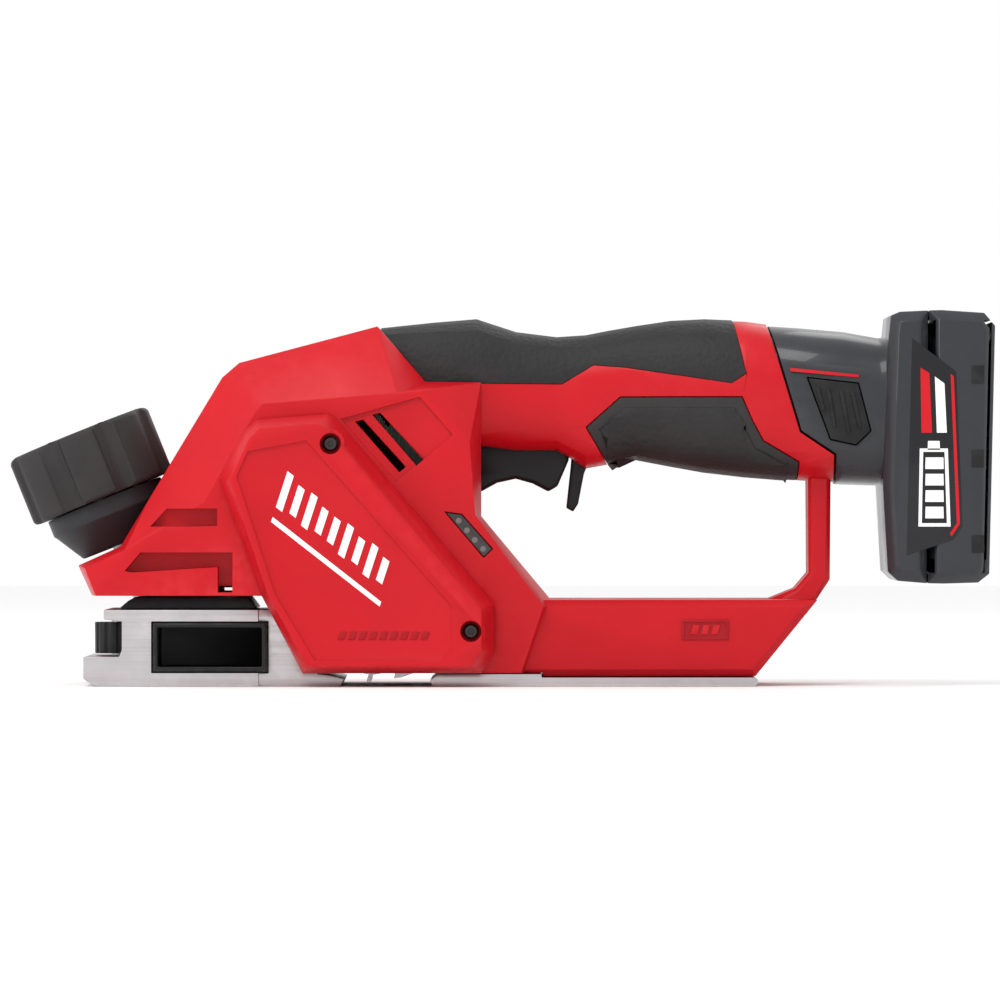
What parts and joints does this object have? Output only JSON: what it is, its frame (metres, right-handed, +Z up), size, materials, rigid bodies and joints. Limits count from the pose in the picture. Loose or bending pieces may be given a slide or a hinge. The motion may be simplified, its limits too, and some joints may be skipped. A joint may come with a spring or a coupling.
{
  "type": "electric hand planer",
  "caption": "Cordless hand planer: a belt-driven blade drum between a fixed sole and an adjustable shoe, with a depth knob, trigger handle and slide-in battery.",
  "frame": {"origin": "on the plane the soles rest on, under the middle of the tool's length and width", "axes": "+X from the depth knob at the front to the battery at the back, +Y away from the belt cover, +Z up from the soles"},
  "size_m": [0.2892, 0.09, 0.1099],
  "materials": {
    "red_plastic": "fine moulded texture",
    "rubber_grip": "soft moulded grip",
    "slate_plastic": "fine moulded texture",
    "smoked_lens": "smoked and polished",
    "machined_aluminium": "machined",
    "carbide_edge": "ground",
    "belt_rubber": "matte",
    "wound_stator": "enamelled copper windings",
    "circuit_board": "lacquered",
    "cell_wrap": "shrink wrapped",
    "black_plastic": "fine moulded texture",
    "steel": "ground"
  },
  "bodies": {
    "planer_body": {"belt_cover": "red_plastic", "control_board": "circuit_board", "cover_screw_lower": "steel", "cover_screw_upper": "steel", "detent_ball": "steel", "drive_belt": "belt_rubber", "drum_bearing_left": "steel", "drum_bearing_right": "steel", "foot_pin": "steel", "gauge_lens": "smoked_lens", "housing_screw_1": "steel", "housing_screw_2": "steel", "housing_screw_3": "steel", "left_housing": "red_plastic", "right_housing": "red_plastic", "left_lower_grip": "rubber_grip", "right_lower_grip": "rubber_grip", "left_top_grip": "rubber_grip", "right_top_grip": "rubber_grip", "lock_lever_pin": "steel", "motor_bearing_left": "steel", "motor_bearing_right": "steel", "motor_stator": "wound_stator", "rear_sole": "machined_aluminium", "sole_screw_1": "steel", "sole_screw_2": "steel", "terminal_block": "black_plastic", "trigger_pin": "steel", "trigger_switch": "black_plastic"},
    "drum": {"cutter_drum": "machined_aluminium", "drum_shaft": "steel", "drum_pulley": "black_plastic", "blade_1": "carbide_edge", "blade_2": "carbide_edge", "blade_clamp_1": "steel", "blade_clamp_2": "steel"},
    "motor": {"motor_rotor": "steel", "cooling_fan": "black_plastic", "motor_pulley": "black_plastic"},
    "depth_control": {"depth_knob": "rubber_grip", "depth_dial": "black_plastic", "depth_screw": "steel"},
    "shoe": {"front_shoe": "machined_aluminium", "shoe_guide_block": "black_plastic", "chip_chute": "black_plastic"},
    "clamp_wheel": {"guide_clamp_wheel": "black_plastic", "guide_clamp_screw": "steel"},
    "trigger": {"trigger": "black_plastic"},
    "lock_lever": {"lock_lever": "black_plastic"},
    "parking_foot": {"parking_foot": "black_plastic"},
    "battery": {"battery_case": "slate_plastic", "battery_cap": "slate_plastic", "stem_cell_1": "cell_wrap", "stem_cell_2": "cell_wrap", "stem_cell_3": "cell_wrap", "base_cell_1": "cell_wrap", "base_cell_2": "cell_wrap", "base_cell_3": "cell_wrap"},
    "left_release_tab": {"battery_tab_left": "black_plastic"},
    "right_release_tab": {"battery_tab_right": "black_plastic"}
  },
  "joints": [
    {"name": "drum_spin", "type": "hinge", "parent": "planer_body", "child": "drum", "pos_m": [-0.0328, 0, 0.019], "axis": [0, 1, 0], "continuous": true},
    {"name": "motor_spin", "type": "hinge", "parent": "planer_body", "child": "motor", "pos_m": [-0.0628, 0, 0.0573], "axis": [0, 1, 0], "continuous": true},
    {"name": "depth_knob_turn", "type": "hinge", "parent": "planer_body", "child": "depth_control", "pos_m": [-0.1116, 0, 0.0412], "axis": [-0.3746, 0, 0.9272], "range_deg": [0, 340]},
    {"name": "shoe_slide", "type": "slide", "parent": "planer_body", "child": "shoe", "axis": [-0.3746, 0, 0.9272], "range_m": [0, 0.00216]},
    {"name": "clamp_wheel_turn", "type": "hinge", "parent": "shoe", "child": "clamp_wheel", "pos_m": [-0.1124, 0, 0.0138], "axis": [0, 0, 1], "range_deg": [0, 360]},
    {"name": "trigger_pull", "type": "hinge", "parent": "planer_body", "child": "trigger", "pos_m": [-0.01, 0, 0.0625], "axis": [0, -1, 0], "range_deg": [0, 9], "stiffness_Nm_per_rad": 0.4, "springref_deg": -5.73},
    {"name": "lock_lever_push", "type": "hinge", "parent": "planer_body", "child": "lock_lever", "pos_m": [0.0236, 0, 0.0686], "axis": [0, 1, 0], "range_deg": [0, 10], "stiffness_Nm_per_rad": 0.1, "springref_deg": -5.73},
    {"name": "parking_foot_swing", "type": "hinge", "parent": "planer_body", "child": "parking_foot", "pos_m": [0.0845, 0, 0.0195], "axis": [0, -1, 0], "range_deg": [0, 42]},
    {"name": "battery_slide", "type": "slide", "parent": "planer_body", "child": "battery", "axis": [0.9997, 0, -0.0262], "range_m": [0, 0.045]},
    {"name": "left_tab_press", "type": "slide", "parent": "battery", "child": "left_release_tab", "axis": [0, 1, 0], "range_m": [0, 0.0012], "stiffness_N_per_m": 400, "springref_m": -0.002},
    {"name": "right_tab_press", "type": "slide", "parent": "battery", "child": "right_release_tab", "axis": [0, -1, 0], "range_m": [0, 0.0012], "stiffness_N_per_m": 400, "springref_m": -0.002}
  ],
  "couplings": [
    {"joint": "motor_spin", "follows": "drum_spin", "ratio": 1.4615},
    {"joint": "depth_knob_turn", "follows": "shoe_slide", "rad_per_m": 2747.2}
  ]
}
